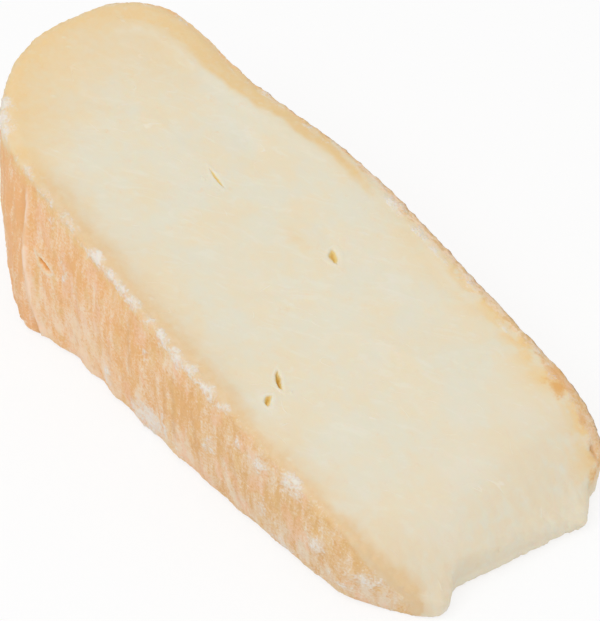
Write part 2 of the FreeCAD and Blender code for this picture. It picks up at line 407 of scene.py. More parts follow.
# %% Lumps, cloth streaks, crumbs and crust
streaky = 1 - 0.6 * smooth((x - 18) / 25)  # the streaks fade towards the tip
streaks = 1 - 1.8 * abs(grain(co, (2.4, 2.4, 20), 3, seed=3))
fine_streaks = 1 - 1.8 * abs(grain(co, (0.95, 0.95, 8), 2, seed=4))
lumps = grain(co, (6, 6, 6), 3, seed=5)
crust_grain = grain(co, (1.7, 1.7, 1.7), 3, seed=6)
crumbs = grain(co, (0.9, 0.9, 0.9), 2, seed=20)

emboss("rind_lumps", on_wall * (0.5 + 0.5 * lumps), 0.45)
patchy = smooth(0.45 + 0.9 * grain(co, (9, 9, 12), 2, seed=27))  # cloth marks come and go
emboss("rind_streaks", on_wall * streaky * patchy * smooth(streaks), 0.14)
emboss("rind_fine_streaks", on_wall * streaky * patchy * smooth(fine_streaks), 0.05)
emboss("rind_crumbs", on_wall * smooth(0.5 + crumbs), 0.13)
rolled = far_side * smooth((rim_x + 14) / 10)  # where the far rind rolls over the rim
crust_line = bell((inward - 1.2 * rolled) / (0.8 + 1.1 * rolled))
plainer = 1 - 0.85 * smooth((-34 - x) / 8)  # the outer rim is softer
emboss("crust", crust_line * plainer * (1 - torn) * smooth(0.5 + 0.8 * crust_grain), 0.30)
emboss("mould_tufts", grown * (0.5 + 0.7 * tuft), 0.22)

# %% Deeper creases down both broad rinds: X, top, bottom and strength
NEAR_CREASES = [
    (-6.9, 28, 12, 0.8), (5.6, 24, 4, 1.0), (3.4, 22, 9, 0.6), (10.6, 20, 1, 0.9),
    (21.0, 19, 3, 0.8), (-22.5, 26, 9, 0.5), (29.6, 14, 4, 0.5), (-13.0, 18, 3, 0.5),
]
FAR_CREASES = [(line_x - 11, top, bottom, strength)
               for line_x, top, bottom, strength in NEAR_CREASES]
wander = grain(co, (40, 40, 7), 2, seed=21)
crease = np.zeros(count)
for side, lines in [(near_side, NEAR_CREASES), (far_side, FAR_CREASES)]:
    for line_x, top, bottom, strength in lines:
        drift = 0.14 * (top - z) * (line_x > 8)
        line = bell((x + 0.9 * wander - line_x - drift) / 0.42)
        line *= smooth((top - z) / 4) * smooth((z - bottom) / 4) * side * on_wall
        crease = np.maximum(crease, strength * line)
emboss("creases", crease, -0.17)

# %% [markdown]
# ## The fold
# Where the cloth was folded at the corner, the rind has a raised hem with a groove on its outer
# side, and both wander as they come down. The solid's own fold is plainer and stands a little to
# one side, so it is filled first. The new one follows a line, given as its X at a few heights.

# %% The fold down the corner
PLAIN_FOLD = (-39.8, -26.6)  # X and Y of the solid's own fold
plain_fold = np.where(
    x > PLAIN_FOLD[0], x - PLAIN_FOLD[0], -np.hypot(x - PLAIN_FOLD[0], y - PLAIN_FOLD[1]))
corner = on_wall * smooth((-12 - y) / 5) * smooth((-30 - x) / 4)
emboss("plain_fold", corner * bell((plain_fold + 1.6) / 1.5) * smooth((34 - z) / 5), 0.75)

FOLD_HEIGHTS = [2, 8, 15, 21, 28, 35]
FOLD_LINE = [-34.8, -35.9, -36.5, -37.6, -38.0, -38.4]
fold_x = np.interp(z, FOLD_HEIGHTS, FOLD_LINE)
wobble = 0.35 * grain(co, (50, 50, 6), 2, seed=22)
past_fold = x - fold_x + wobble
at_fold = corner * smooth((35.5 - z) / 3)
hem = at_fold * bell((past_fold - 0.15) / (0.42 + 0.28 * bell((z - 19) / 7)))
pocket = at_fold * bell((past_fold + 0.9) / 0.6) * (0.5 + 0.5 * smooth((9 - z) / 6))
emboss("fold_hem", hem, 0.35)
emboss("fold_pocket", pocket, -0.40)
outer_rind = on_wall * smooth((-past_fold - 0.2) / 0.8) * smooth((-32.5 - x) / 1.5)
cross_crease = outer_rind * at_fold * bell((z - 6.8 - 0.75 * (x + 41)) / 0.5)

# %% [markdown]
# ## The cut face's relief
# A knife drags soft paste along with it, so the cut has long low waves, faint drag lines on a
# slant and small nicks. The waves and lines are noise on coordinates that are turned to the way
# the knife went, and swirled a little, so that none of them runs quite straight.

# %% The knife's waves and drag lines
KNIFE_ANGLE, WAVE_ANGLE = 38, 60  # degrees from +X
on_face = smooth((0.5 - sideways) / 0.2) * smooth(inward / 2.0) * (1 - underside)
warp = 5 * grain(co, (14, 14, 60), 2, seed=23)
swirled = co + np.stack([warp, -warp, 0 * warp], axis=1)
drag = grain(turned_plan(swirled, KNIFE_ANGLE), (9, 0.9, 60), 3, seed=7)
drag_places = smooth(0.2 + 1.2 * grain(co, (12, 12, 60), 2, seed=28))
waves = grain(turned_plan(swirled, WAVE_ANGLE), (20, 7, 90), 2, seed=8)
emboss("knife_waves", on_face * (0.5 + 0.5 * waves), 0.40)
emboss("knife_drag", on_face * drag_places * smooth(0.5 + 0.6 * drag), 0.05)

# %% A smear that curls, a dent and small nicks
CURL = (26.2, 1.5)
curl_distance = np.hypot(x - CURL[0], y - CURL[1])
curl = bell((curl_distance - 4.1) / 0.45) + 0.7 * bell((curl_distance - 2.6) / 0.35)
curl *= smooth(0.4 + grain(co, (3, 3, 3), 2, seed=9))
emboss("curl", on_face * curl, 0.12)

DENT, DENT_ANGLE = (-22.8, 11.8, 0), -22
from_dent = turned_plan(co - np.array(DENT), DENT_ANGLE)
dent = bell(np.hypot(from_dent[:, 0] / 5.4, from_dent[:, 1] / 2.3))
emboss("dent", on_face * dent, -0.35)

NICK_ANGLE = 20
nick_grain = grain(turned_plan(co, NICK_ANGLE), (1.7, 0.6, 2.0), 1, seed=10)
nicks = smooth((nick_grain - 0.60) / 0.12)
emboss("nicks", on_face * nicks, 0.12)

# %% [markdown]
# ## The tip and its tear
# At the thin end the soft paste bends down and was pulled off rather than cut. A painted
# smoothing eases the bend, so that the face runs down to the tear in one sweep. The tear gets
# threads along the pull, short strands, crumbs and a few notches.

# %% The tip's bend is eased
eased = smooth((x - 38) / 6) * smooth((0.5 - sideways) / 0.3) * smooth((z - 3.5) / 3)
eased *= 1 - underside
apply_painted("eased", eased, "SMOOTH", least=0.01, factor=0.5, iterations=60)
print("eased points:", int((eased > 0.5).sum()))

# %% The tear: threads, strands and crumbs
threads = grain(co, (12, 0.8, 60), 3, seed=11)
pulled = smooth((x - 51) / 9) * smooth((0.6 - sideways) / 0.2) * (1 - underside)
emboss("threads", pulled * smooth(0.5 + 0.7 * threads), 0.10)
ragged = grain(co, (3, 1.6, 2), 3, seed=12)
emboss("ragged_edge", torn * smooth(0.5 + 0.8 * ragged), 0.26)
tear_zone = smooth((x - 58.8) / 2.5) * (1 - on_wall) * (1 - underside)
strands = 1 - 1.7 * abs(grain(co, (3.5, 0.9, 5), 3, seed=33))
tear_crumbs = grain(co, (1.5, 1.2, 1.5), 3, seed=34)
emboss("tear_strands", tear_zone * smooth(strands), 0.20)
emboss("tear_crumbs", tear_zone * smooth(0.3 + 0.9 * tear_crumbs), 0.10)

# %% Notches in the tip's edge
NOTCHES = [
    ((57.2, 24.6, 10.8), 0.7, 1.0),
    ((60.6, 21.3, 6.3), 0.8, 0.9),
    ((63.0, 13.6, 1.6), 0.7, 0.5),
]
for place, reach, depth in NOTCHES:
    emboss("notch", patch(place, (reach, reach, 3.0)), -depth)

# %% [markdown]
# ## Eyes
# Taleggio has few eyes, small and slit-like, because the paste is so soft that it closes them.
# Each is pressed into the skin as a pointed oval, deepest in the middle, inside a low soft lip.


# %% Press the eyes in
def eye_shape(eye):
    """Depth from 0 to 1, and the lip round it, of one eye."""
    offset = co - eye["middle"] / MM
    a = math.radians(eye["angle"])
    second = offset[:, 2] if eye is RIND_SLIT else offset[:, 1]
    along = (offset[:, 0] * math.cos(a) + second * math.sin(a)) / (eye["length"] / 2)
    across = (second * math.cos(a) - offset[:, 0] * math.sin(a)) / (eye["width"] / 2)
    across = across + 0.35 * grain(co, (1.2, 1.2, 1.2), 2, seed=13) - 0.5 * (along**2 - 0.3)
    oval = 1 - along**2 - abs(across)
    near = (offset**2).sum(axis=1) < (0.75 * eye["length"] + 1) ** 2
    depth = smooth(oval / 0.9) * near
    lip = bell((oval + 0.45) / 0.5) * near * (oval < 0.2)
    return depth, lip


eye_depth = np.zeros(count)
lips = np.zeros(count)
for eye in EYES:
    depth, lip = eye_shape(eye)
    emboss("eye", depth, -eye["depth"])
    emboss("lip", lip, 0.08)
    eye_depth = np.maximum(eye_depth, depth * min(0.45 + 0.5 * eye["depth"], 1))
    lips = np.maximum(lips, lip)

# %% Smooth shading
select_only(wedge)
bpy.ops.object.shade_smooth()
print("finished skin:", len(wedge.data.polygons), "cells")

# %% [markdown]
# ## Where the paste is ripe, and where the rind ends
# Taleggio ripens from its rind inwards, so a straw-coloured band lies under the rind: wide at
# the outer end and along the far rim, narrow along the near one. The rind itself ends close to
# the rim. Each is a function of the distance from the rim, made uneven by noise.

# %% The ripe band under the rind
band_noise = grain(co, (5, 5, 5), 2, seed=14)
depth_in = np.clip(inward, 0, None)
outer_end = smooth((-rim_x - 34) / 18)
BAND_PLACES = [-48, -34, -27, -17, -8, 4]  # X along the far rim
BAND_WIDTHS = [5.8, 5.1, 4.2, 3.8, 4.4, 5.0]
far_band_width = np.interp(rim_x, BAND_PLACES, BAND_WIDTHS)
far_band_start = np.interp(rim_x, [-20, -12, -4], [-2.0, 0.6, 1.8])  # paler crust lies outside it
far_band = smooth((far_band_width + 0.9 * band_noise - inward) / 1.4)
far_band *= smooth((inward - far_band_start) / 1.2) * far_side * smooth((2 - rim_x) / 11)
near_width = 2.9 - 1.2 * smooth((x - 18) / 8) + 0.9 * band_noise
near_band = 0.85 * bell(depth_in / near_width) + 0.25 * bell(depth_in / 7)
ripe = np.maximum.reduce([
    outer_end * (0.75 * bell(depth_in / 13) ** 0.8 + 0.3 * bell(depth_in / 3)),
    0.95 * far_band,
    (1 - outer_end) * near_band * near_side,
    (1 - outer_end) * 0.35 * bell(depth_in / 4) * far_side,
])

# %% Ripe blotches along the far rim, single ripe places, and a scuff beside the band
blotch = smooth((grain(co, (3.0, 2.6, 3), 4, seed=26) + 0.5) / 0.5)
blotch_reach = 3.6 + 1.3 * smooth((x - 36) / 8)
blotch *= smooth(x / 10) * (1 - 0.8 * patch((12, 25, 26), (5, 3, 5)))
ripe = np.maximum(ripe, rolled * blotch * bell((inward - 0.8) / blotch_reach))
RIPE_PLACES = [
    ((44.6, 23.4, 18), (3.4, 2.6, 6), 1.0),
    ((59.0, -18.6, 5), (2.6, 2.6, 5), 1.0),
    ((-42, -24, 38.5), (5, 3, 4), 1.0),
    ((57.5, -22.0, 4), (3.0, 2.0, 3), 1.0),
    ((-1.4, 5.9, 30.0), (2.4, 1.3, 3.0), 0.35),
]
ripe = np.maximum(ripe, patches(RIPE_PLACES))
scuff = far_side * bell((inward - far_band_width - 1.0) / 1.1) * smooth((-rim_x - 8) / 6)
print("share of the skin that is ripe:", round(float((ripe > 0.5).mean()), 3))

# %% The rind's own edge, its crust and fringe, and a dark line that is partly painted shade
wrap = 2.1 * smooth((-43 - x) / 6) * (1 - far_side)  # the paste laps over the outer rim
rind_edge = 1.4 * rolled * (1 + 0.7 * crust_grain) + 0.8 * rolled * smooth((x - 46) / 6)
rind_edge -= (0.3 + 1.1 * fine_streaks * smooth((-10 - x) / 20)) * near_side + wrap
rind_edge -= 2.2 * smooth((x - 47) / 10) * near_side  # and over the near rind at the tip
tip_corner = near_side * smooth((x + 0.9 * crust_grain - 57.4) / 3)
rind_share = smooth((rind_edge - inward) / 2.4 + 0.5)
rind_share *= (1 - underside) * (1 - torn) * (1 - tip_corner)
crusty = rolled * bell((inward - 0.8) / 1.7) * (1 - 0.75 * bare_rim)
fringe = bell((inward + 1.3 + wrap) / 1.9) * near_side * (0.4 + 0.6 * smooth((10 - x) / 15))
# The dark rim line: partly the rind's brown edge, partly painted shade where the far rim turns
# away.
rim_side = far_side * smooth((rim_x + 40) / 10)
rim_edge_and_shade = rim_side * smooth((sideways - 0.70) / 0.12) * bell(np.minimum(inward + 0.4, 0) / 0.6)
print("share of the skin that is rind:", round(float((rind_share > 0.5).mean()), 3))

# %% [markdown]
# ## Stains, tan places, bloom and milky paste
# The rest has no rule to follow: brown stains on the rim, tan places where the rind was wet,
# pale bloom low on the wall, and milky smears on the cut. Each is a short list of soft uneven
# spots: a place, its reach along X, Y and Z, and a strength. The far wall, which is like the
# near one, takes the near wall's spots moved along it.

# %% Where they are
STAINS = [  # brown spots, mostly on the rim
    ((47.6, 25.1, 17.9), (2.0, 1.7, 3.0), 0.95),
    ((45.0, 26.2, 18.4), (2.6, 1.5, 3.0), 0.9),
    ((46.0, 24.4, 18.2), (3.0, 2.2, 3.0), 0.4),
    ((59.7, 23.0, 7.0), (1.5, 1.5, 2.6), 0.9),
    ((57.6, 24.2, 10.6), (1.0, 1.5, 1.6), 0.6),
    ((52.8, 25.4, 14.6), (2.8, 1.1, 3.0), 0.55),
    ((36.8, NEAR, 16.4), (1.2, 4, 1.1), 0.6),
    ((-12.0, NEAR, 29.0), (1.4, 4, 1.4), 0.35),
    ((53.5, 9.6, 13.0), (0.6, 0.6, 3.0), 0.45),
    ((-37.8, -8.5, 38.0), (0.7, 0.9, 2.0), 0.35),
    ((-34.9, -18.7, 36.0), (0.8, 0.7, 2.0), 0.45),
    ((-44.3, 22.9, 37.0), (0.7, 0.7, 2.0), 0.5),
]
TANNED = [  # wetter, browner rind
    ((-23, NEAR, 26), (4, 5, 5), 0.5),
    ((-40, NEAR + 2, 31), (5, 6, 8), 1.0),
    ((-31, NEAR, 27), (4, 5, 5), 0.5),
    ((-61, 7, 27), (6, 8, 7), 0.8),
    ((-9, NEAR, 24), (4.0, 5, 6), 0.9),
    ((3, NEAR, 17), (3.0, 5, 6), 0.5),
    ((13, NEAR, 17), (9, 5, 5), 0.8),
    ((26, NEAR, 11), (3, 5, 5), 0.4),
    ((34, NEAR, 13), (4, 5, 4), 0.8),
    ((51, NEAR + 2, 12), (6, 6, 4.5), 1.0),
]
BLOOMS = [  # drier, paler rind
    ((-33, NEAR, 8), (6, 6, 8), 1.0),
    ((-37, NEAR, 14), (3, 5, 8), 0.9),
    ((-62, 0, 11), (6, 9, 7), 0.9),
    ((-56, 15, 20), (5, 6, 6), 0.7),
    ((-24, NEAR, 6), (6, 5, 7), 0.9),
    ((-16, NEAR, 10), (5, 5, 8), 0.8),
    ((-33, NEAR, 3), (9, 6, 4), 0.8),
    ((-20, NEAR, 20), (4, 5, 4), 0.4),
    ((27, NEAR, 17), (3.5, 5, 5), 0.7),
    ((22, NEAR, 8), (4, 5, 5), 0.6),
    ((41, NEAR, 6.5), (7, 5, 4), 0.8),
    ((5, NEAR, 5), (8, 5, 4), 0.5),
    ((55, NEAR + 5, 4), (5, 6, 4), 0.6),
]
MILKY = [  # smears of fresh paste on the cut, with a reach along Z that takes in its slope
    ((22, -20.3, 24), (5, 2.6, 9), 1.0),
    ((-26.8, 11.6, 36), (6, 2.0, 9), 0.9),
    ((14, 14, 26), (12, 4, 9), 0.6),
    ((26, 1.5, 23), (7, 5, 9), 0.7),
    ((-23, -2, 35), (7, 4, 9), 0.6),
    ((36, -13.5, 20), (8, 4, 9), 0.5),
    ((35.5, -19.6, 20), (3.0, 1.2, 9), 1.0),
    ((44.2, -17.6, 18), (3.6, 1.4, 9), 0.9),
    ((46, 16, 18), (5, 4, 9), 0.6),
    ((50, 0, 17), (5, 6, 9), 0.8),
    ((43, 6, 19), (4, 3, 9), 0.6),
    ((55, -9, 13), (4, 5, 9), 0.7),
    ((38, 5, 20), (4, 6, 9), 0.5),
    ((0, -6, 29), (8, 4, 9), 0.5),
    ((20, 23.2, 25), (5.5, 0.8, 9), 1.0),
    ((48.6, 21.6, 17), (4.2, 1.8, 9), 1.0),
]
TANNED += along_far_rind(TANNED, -9)
BLOOMS += along_far_rind(BLOOMS, -14)
print("spots:", len(STAINS + TANNED + BLOOMS + MILKY))

# %% Bloom, uneven, and thinner on the outer rind, which is partly painted shade there
bloom_mottle = grain(co, (3.2, 3.2, 6), 3, seed=24)
bloom = 0.45 * smooth((17 - z) / 14) + 0.85 * patches(BLOOMS)
bloom *= on_wall * smooth(0.6 + 0.9 * bloom_mottle) * (1 - 0.5 * outer_rind)
print("share of the skin with bloom:", round(float((bloom > 0.3).mean()), 3))

# %% [markdown]
# ## Hand the measurements to the material
# The material needs to know what each point is. The measurements are stored on the mesh as
# attributes, one number a point, so that the colour follows the form exactly, from every side.

# %% Store them on the mesh
MEASURED = {
    "rind": rind_share,
    "ripe": ripe,
    "scuff": scuff,
    "crusty": crusty,
    "fringe": fringe,
    "rim_edge_and_shade": rim_edge_and_shade,
    "mould": mould,
    "bloom": bloom,
    "tanned": on_wall * patches(TANNED),
    "stain": patches(STAINS),
    "outer_rind": outer_rind,
    "hem": np.maximum(hem, 0.6 * cross_crease),
    "crease": np.maximum(crease, 0.8 * pocket),
    "milky": on_face * patches(MILKY),
    "nick_highlight": on_face * nicks,
    "tear": np.maximum(torn, 0.7 * smooth((x - 59) / 4) * (1 - on_wall)),
    "eye": eye_depth,
    "lip": lips,
}
for name, values in MEASURED.items():
    values = np.clip(values, 0, 1)
    layer = wedge.data.attributes.new(name, "FLOAT", "POINT")
    layer.data.foreach_set("value", values.astype(np.float32))
    print(f"{name}: mean {values.mean():.3f}")

# %% [markdown]
# ## Writing materials as sums
# A material is a small calculation at each point of the skin. Written as Python expressions it
# reads like one. A Wire holds one value in the material's nodes, and arithmetic on it adds the
# Math nodes. A Finish holds a material, and makes any other node that it needs.

# %% Wires and finishes
def plug(socket, value):
    """Links a wire to a socket, or sets the socket's own value."""
    if isinstance(value, Wire):
        socket.id_data.links.new(value.socket, socket)
    else:
        socket.default_value = value


class Finish:
    """The nodes of one material, or of the world."""

    def __init__(self, owner):
        owner.use_nodes = True
        self.owner = owner
        self.nodes = owner.node_tree.nodes
        self.nodes.clear()

    def add(self, kind, settings=(), sockets=(), output=0):
        """One node: its settings are set first, then its sockets. Gives one output's wire."""
        node = self.nodes.new(kind)
        for name, value in dict(settings).items():
            setattr(node, name, value)
        for name, value in dict(sockets).items():
            plug(node.inputs[name], value)
        if isinstance(output, tuple):
            return [Wire(self, node.outputs[name]) for name in output]
        return Wire(self, node.outputs[output]) if node.outputs else None

    def measured(self, name):
        """A number stored on the mesh."""
        return self.add("ShaderNodeAttribute", {"attribute_name": name}, output="Fac")

    def grain(self, place, size, detail=3.0, stretch=(1, 1, 1), swirl=0.0):
        """Random values about 0.5. size is a lump's width in mm, longer along stretched axes."""
        scaled = self.add("ShaderNodeVectorMath", {"operation": "DIVIDE"},
                          {0: place, 1: [size * longer for longer in stretch]})
        return self.add("ShaderNodeTexNoise", {},
                        {"Vector": scaled, "Scale": 1.0, "Detail": detail, "Distortion": swirl})

    def mix(self, share, first, second):
        """A colour from first, where the share is 0, to second, where it is 1."""
        return self.add("ShaderNodeMix", {"data_type": "RGBA"}, {0: share, 6: first, 7: second},
                        output=2)


class Wire:
    """One value of a finish. Arithmetic on it adds the Math nodes."""

    def __init__(self, finish, socket):
        self.finish = finish
        self.socket = socket

    def maths(self, operation, first, second):
        return self.finish.add("ShaderNodeMath", {"operation": operation}, {0: first, 1: second})

    def __add__(self, other):
        return self.maths("ADD", self, other)

    def __sub__(self, other):
        return self.maths("SUBTRACT", self, other)

    def __mul__(self, other):
        return self.maths("MULTIPLY", self, other)

    def __rsub__(self, other):
        return self.maths("SUBTRACT", other, self)

    __radd__ = __add__
    __rmul__ = __mul__

    def at_most(self, other):
        return self.maths("MINIMUM", self, other)

    def at_least(self, other):
        return self.maths("MAXIMUM", self, other)

    def rise(self, low, high):
        """0 below low, 1 above high, and smooth between. low may be above high."""
        return self.finish.add("ShaderNodeMapRange", {"interpolation_type": "SMOOTHSTEP"},
                               {"Value": self, "From Min": low, "From Max": high})


def tint(red, green, blue):
    """A colour as it is seen, from 0 to 255, in the light values that a material uses."""
    parts = [part / 255 for part in (red, green, blue)]
    return [p / 12.92 if p < 0.04045 else ((p + 0.055) / 1.055) ** 2.4 for p in parts] + [1.0]


# %% [markdown]
# ## The cheese's finish
# Paste and rind are one body of cheese, so they share one material, which mixes their colours
# by the stored measurements. The paste is a cool cream in the middle, where it is youngest, and
# turns straw yellow towards the rind that ripens it. The rind is peach to orange, browner
# towards the tip, with painted shade in its creases, and dusted with white mould. Fine grain
# breaks up every edge, so that no border looks painted.

# %% Places and grain
cheese = Finish(bpy.data.materials.new("cheese"))
where = cheese.add("ShaderNodeTexCoord", output="Object")
place = cheese.add("ShaderNodeVectorMath", {"operation": "SCALE"}, {0: where, "Scale": 1 / MM})
px, py = cheese.add("ShaderNodeSeparateXYZ", {}, {0: place}, output=("X", "Y"))
knife_way = cheese.add("ShaderNodeMapping", {"vector_type": "TEXTURE"},
                       {"Vector": place, "Rotation": [0, 0, math.radians(KNIFE_ANGLE)]})

fine = cheese.grain(place, 0.5, 4)
medium = cheese.grain(place, 2.2, 4)
broad = cheese.grain(place, 8.0, 3)
streak = cheese.grain(place, 1.3, 5, stretch=(1, 1, 6))
speck = cheese.grain(place, 0.28, 2)
clump = cheese.grain(place, 1.1, 4)
smeared = cheese.grain(knife_way, 2.4, 4, stretch=(2.6, 1, 25), swirl=1.8)
mottle = cheese.grain(place, 1.9, 4, stretch=(1, 1, 2.4))
hue = cheese.grain(place, 3.6, 4, stretch=(1, 1, 2))
contour = cheese.grain(knife_way, 6.0, 1, stretch=(2.2, 1, 12), swirl=0.4) - 0.5
contour_line = (contour * contour).rise(0.00005, 0.0)  # a thin line where the noise is half
wisp = contour_line * cheese.grain(place, 4.0, 2).rise(0.55, 0.64)
print("nodes for places and grain:", len(cheese.nodes))

# %% Masks, with their edges broken up
rind_mask = cheese.measured("rind") + (medium - 0.5) * 0.9 + (fine - 0.5) * 0.9
rind_mask = (rind_mask + (streak - 0.5) * 0.5).rise(0.1, 0.9)
ripe_mask = (cheese.measured("ripe") * (0.5 + 0.6 * medium + 0.4 * clump)).at_most(1.0)
ripe_mask = ripe_mask * (1 - 0.6 * cheese.measured("milky"))
mould_core = cheese.measured("mould")
mould_mask = (mould_core * 1.2 + (fine - 0.5) * 2.4 + (clump - 0.5) * 2.2 - 0.1).rise(0.15, 1.2)
mould_mask = mould_mask * mould_core.rise(0.04, 0.5)
stain_mask = cheese.measured("stain") * 1.3 + (medium - 0.5) * 1.2 + (fine - 0.5) * 1.2
stain_mask = stain_mask.rise(0.15, 1.25) * cheese.measured("stain").rise(0.02, 0.3)
# Where a highlight is painted on the fold's hem and along the line across the outer rind.
hem_highlight_mask = cheese.measured("hem") * (0.45 + 0.55 * streak.rise(0.35, 0.6)) * (0.5 + medium)
eye_mask = cheese.measured("eye")
print("nodes so far:", len(cheese.nodes))

# %% [markdown]
# ## Colours of the paste
# The colours go on in layers, as a painter's glazes would: two creams in soft clouds, pale
# smears along the knife's way, a warmer tip, milky places and wisps, then the straw of the ripe
# band, and last its scuffs and painted highlights on the nicks. A mask says how much of each
# layer shows.

# %% Paste
CREAM = tint(226, 220, 199)
WARM_CREAM = tint(231, 217, 187)
PALE = tint(231, 226, 208)
WARM_TIP = tint(230, 214, 185)
STRAW = tint(233, 203, 152)
FAR_STRAW = tint(230, 199, 146)
FAR_GOLD = tint(235, 201, 142)
NEAR_STRAW_SHADE = tint(224, 195, 152)
TORN_PAINTED_LIGHT = tint(237, 227, 204)
MILK = tint(229, 226, 213)
WISP = tint(240, 235, 222)

paste = cheese.mix((broad * 0.7 + medium * 0.3).rise(0.36, 0.64), CREAM, WARM_CREAM)
paste = cheese.mix(smeared.rise(0.5, 0.72) * 0.45, paste, PALE)
paste = cheese.mix(px.rise(32, 62) * medium.rise(0.25, 0.7) * 0.9, paste, WARM_TIP)
# Paler at the tear: partly the torn paste's own colour, partly painted light lifting the shade on
# its slope.
paste = cheese.mix(cheese.measured("tear") * 0.6, paste, TORN_PAINTED_LIGHT)
paste = cheese.mix(cheese.measured("milky") * medium.rise(0.35, 0.65) * 0.55, paste, MILK)
paste = cheese.mix(wisp * 0.4, paste, WISP)
straw = cheese.mix(px.rise(-52, -36), STRAW, FAR_STRAW)
straw = cheese.mix(px.rise(-6, 10), straw, FAR_GOLD)
# Duller straw on the near side: partly its own colour, partly painted shade against the lamp's
# stronger light.
straw = cheese.mix(py.rise(0, -14) * px.rise(-44, -30), straw, NEAR_STRAW_SHADE)
paste = cheese.mix(ripe_mask, paste, straw)
paste = cheese.mix(cheese.measured("scuff") * medium.rise(0.3, 0.65) * 0.5, paste, PALE)
# Painted highlights: small pale glints on the raised nicks.
paste = cheese.mix(cheese.measured("nick_highlight") * 0.4, paste, PALE)
print("nodes so far:", len(cheese.nodes))

# %% [markdown]
# ## Colours of the rind
# The brine it is washed with feeds an orange growth, which covers the pale rind unevenly. So it
# has three colours, pale, middling and deep, chosen by a tone that adds up grain of several
# sizes. They turn a little greyer towards the tip. Ochre and rosy clouds, flecks and the crust
# lie over them, with painted shade in the creases, a deeper orange past the fold that is partly
# painted shade, and a painted highlight on the fold's hem.

# %% Rind colours, at the thick end and at the tip
RIND_PALE, TIP_PALE = tint(241, 214, 184), tint(228, 209, 184)
RIND_MID, TIP_MID = tint(238, 195, 149), tint(226, 193, 152)
RIND_DEEP, TIP_DEEP = tint(235, 179, 119), tint(220, 177, 122)
RIND_TAN, TIP_TAN = tint(235, 180, 121), tint(222, 179, 119)
OUTER_RIND_SHADE = tint(235, 180, 128)
OCHRE, ROSY = tint(229, 191, 128), tint(239, 189, 156)
CREASE_SHADE = tint(212, 160, 104)
FRINGE = tint(232, 197, 137)
FLECK_PALE, FLECK_DEEP = tint(237, 219, 196), tint(216, 161, 98)
CRUST = tint(240, 216, 186)
CRUST_GOLD = tint(226, 190, 138)
HEM_HIGHLIGHT = tint(245, 216, 191)
print("deep rind at the thick end, as light:", [round(part, 2) for part in RIND_DEEP[:3]])

# %% Rind
towards_tip = px.rise(-28, 42)
pale_rind = cheese.mix(towards_tip, RIND_PALE, TIP_PALE)
mid_rind = cheese.mix(towards_tip, RIND_MID, TIP_MID)
deep_rind = cheese.mix(towards_tip, RIND_DEEP, TIP_DEEP)
tan_rind = cheese.mix(towards_tip, RIND_TAN, TIP_TAN)
tone = 0.43 + (mottle - 0.5) * 1.3 + (streak - 0.5) * 1.7 + (fine - 0.5) * 1.6
tone = tone + (speck - 0.5) * 1.0
tone = tone + (broad - 0.5) * 0.9 + cheese.measured("bloom") * 0.40
tone = tone - cheese.measured("tanned") * 0.22
rind = cheese.mix(tone.rise(0.05, 0.5), deep_rind, mid_rind)
rind = cheese.mix(tone.rise(0.45, 0.98), rind, pale_rind)
rind = cheese.mix(cheese.measured("bloom") * 0.35, rind, pale_rind)
rind = cheese.mix(hue.rise(0.53, 0.66) * 0.4, rind, OCHRE)
rind = cheese.mix(hue.rise(0.46, 0.35) * 0.4, rind, ROSY)
# Deeper orange past the fold: partly the rind's own colour, partly painted shade where it turns
# away.
rind = cheese.mix(cheese.measured("outer_rind") * tone.rise(0.8, 0.2) * 0.7, rind, OUTER_RIND_SHADE)
rind = cheese.mix(cheese.measured("tanned") * medium.rise(0.35, 0.6) * 0.55, rind, tan_rind)
rind = cheese.mix(cheese.measured("fringe") * clump.rise(0.3, 0.65) * 0.8, rind, FRINGE)
fleck = clump * 0.5 + streak * 0.5 + (fine - 0.5) * 0.7
rind = cheese.mix(fleck.rise(0.57, 0.70) * (0.25 + 0.35 * towards_tip), rind, FLECK_PALE)
rind = cheese.mix(fleck.rise(0.43, 0.30) * (0.25 + 0.30 * towards_tip), rind, FLECK_DEEP)
crust = cheese.mix(clump.rise(0.45, 0.6), CRUST, CRUST_GOLD)
rind = cheese.mix(cheese.measured("crusty") * 0.85, rind, crust)
# Painted shade in the creases and in the fold's pocket.
rind = cheese.mix(cheese.measured("crease") * 0.5, rind, CREASE_SHADE)
# A painted highlight on the fold's raised hem and along the line across the outer rind.
rind = cheese.mix(hem_highlight_mask.at_most(1.0), rind, HEM_HIGHLIGHT)
print("nodes so far:", len(cheese.nodes))

# %% Rind over paste, then the stains, the mould and the eyes over both
RIM_EDGE_AND_SHADE = tint(170, 130, 88)
STAIN = tint(224, 164, 86)
MOULD_WHITE = tint(234, 229, 221)
LIGHT_GOLD, DEEP_GOLD_SHADE = tint(230, 203, 132), tint(205, 153, 46)
SLIT_LIGHT, SLIT_DEEP_SHADE = tint(236, 174, 102), tint(202, 128, 52)

skin = cheese.mix(rind_mask, paste, rind)
# Painted shade, with some of the rind's brown edge, where the far rim turns away.
rim_edge_shade_mask = cheese.measured("rim_edge_and_shade") * (0.5 + 0.6 * medium).at_most(1.0)
skin = cheese.mix(rim_edge_shade_mask, skin, RIM_EDGE_AND_SHADE)
skin = cheese.mix(stain_mask * 0.75, skin, STAIN)
skin = cheese.mix(mould_core.rise(0.05, 1.0) * 0.35, skin, MOULD_WHITE)
skin = cheese.mix(mould_mask * 0.8, skin, MOULD_WHITE)
skin = cheese.mix(cheese.measured("lip") * (0.3 + 0.1 * rind_mask), skin, PALE)
eye_rim = cheese.mix(rind_mask, LIGHT_GOLD, SLIT_LIGHT)
